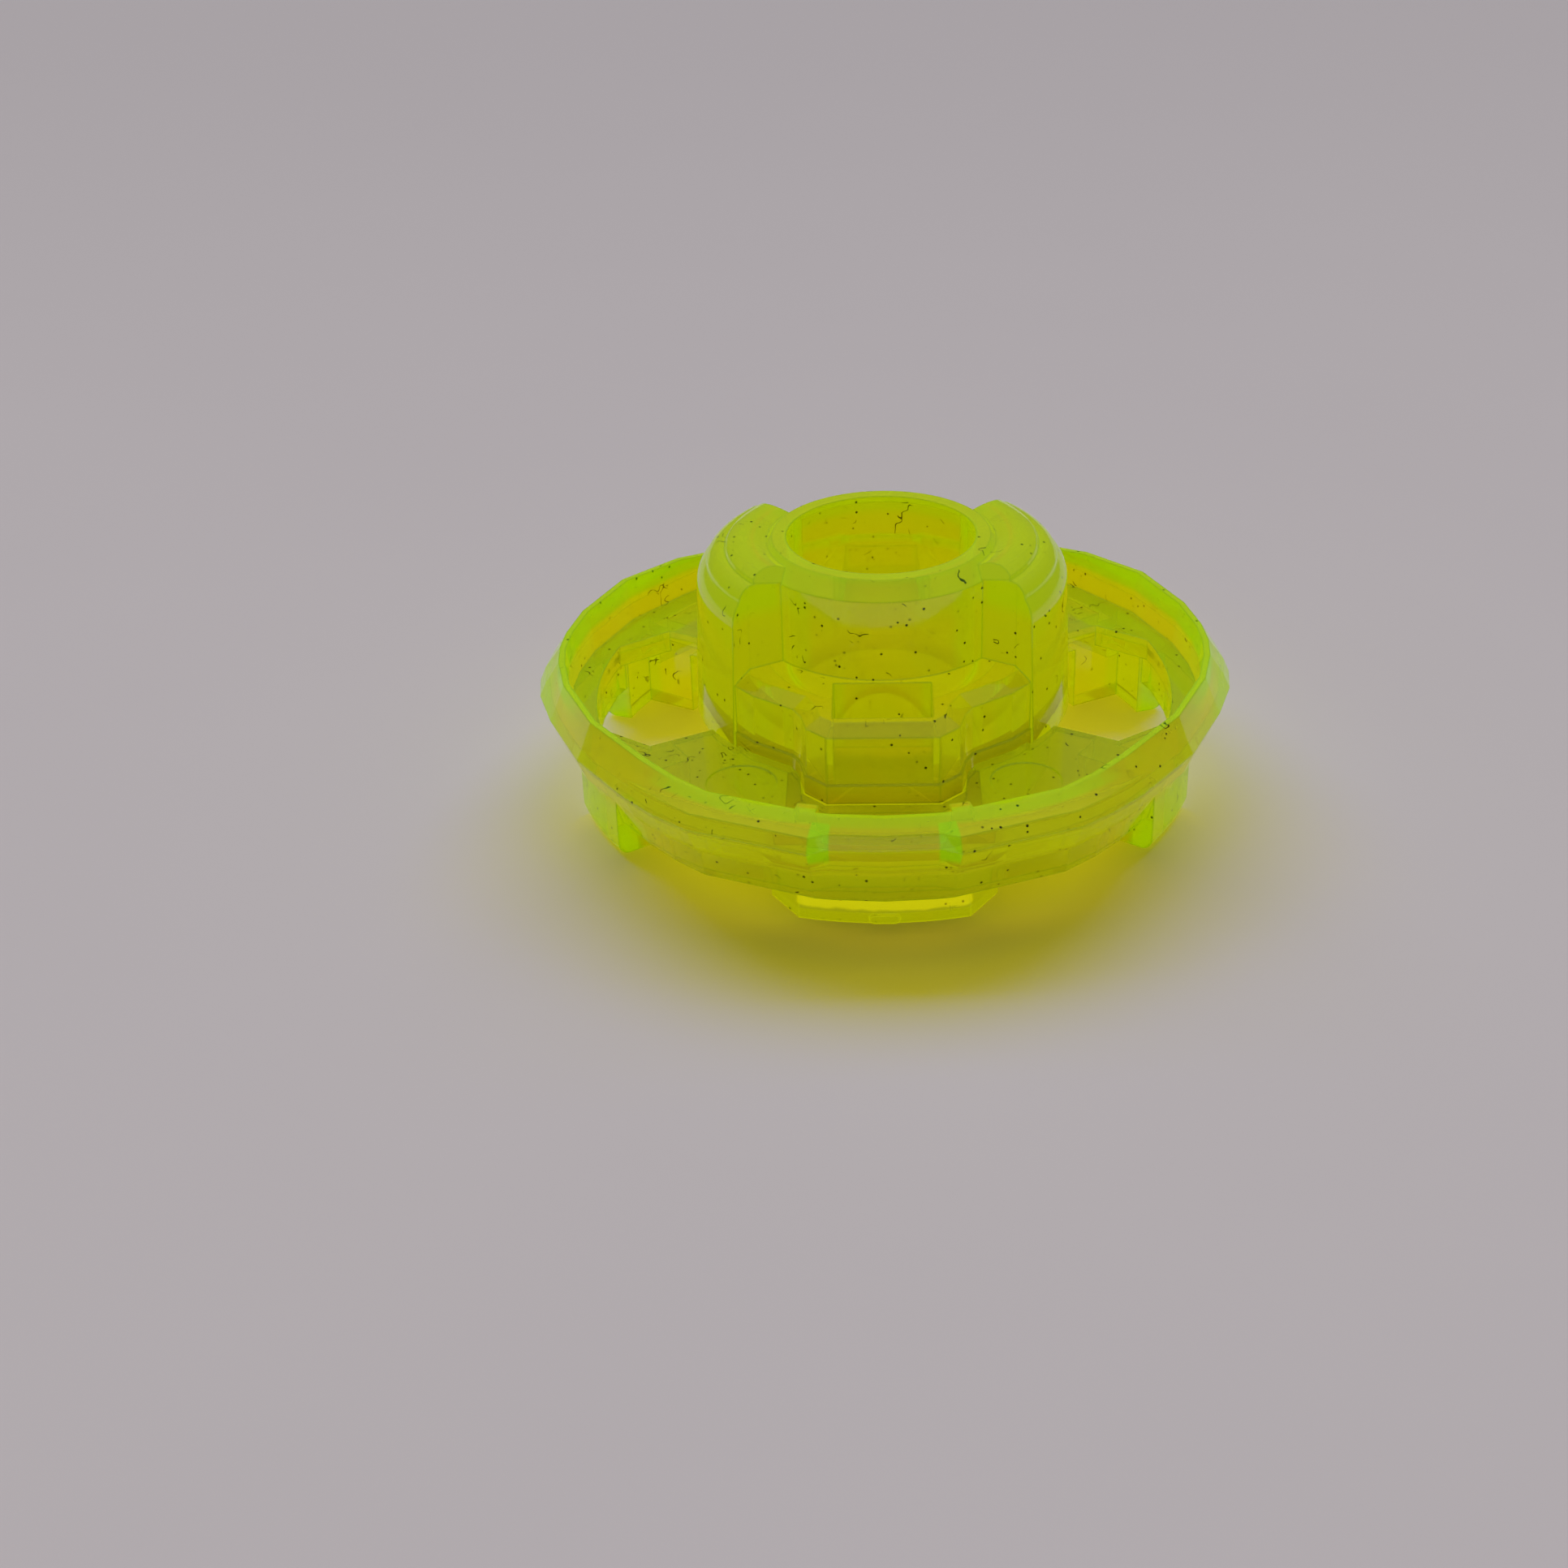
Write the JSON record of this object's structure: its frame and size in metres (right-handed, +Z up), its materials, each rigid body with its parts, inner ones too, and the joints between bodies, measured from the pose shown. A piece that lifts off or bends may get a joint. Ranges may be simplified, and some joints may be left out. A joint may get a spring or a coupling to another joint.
{
  "type": "spinning top disk",
  "caption": "Clear fluorescent plastic disk of a toy spinning top: winged hub with a through bore, shallow faceted disk with side openings and feet, and base plate with two tongues.",
  "frame": {"origin": "on the spin axis, in the plane of the feet", "axes": "+Z up along the spin axis, -Y the front tongue with the gate mark, +X the right wing"},
  "size_m": [0.0398, 0.039, 0.0144],
  "materials": {
    "hub_plastic": "gloss",
    "disk_plastic": "gloss",
    "base_plastic": "gloss"
  },
  "bodies": {
    "base": {"base_plate": "base_plastic"},
    "disk": {"disk": "disk_plastic"},
    "hub": {"hub": "hub_plastic"}
  },
  "joints": [
    {"name": "disk_lift", "type": "slide", "parent": "base", "child": "disk", "axis": [0, 0, 1], "range_m": [0, 0.012]},
    {"name": "hub_lift", "type": "slide", "parent": "disk", "child": "hub", "axis": [0, 0, 1], "range_m": [0, 0.012]}
  ]
}
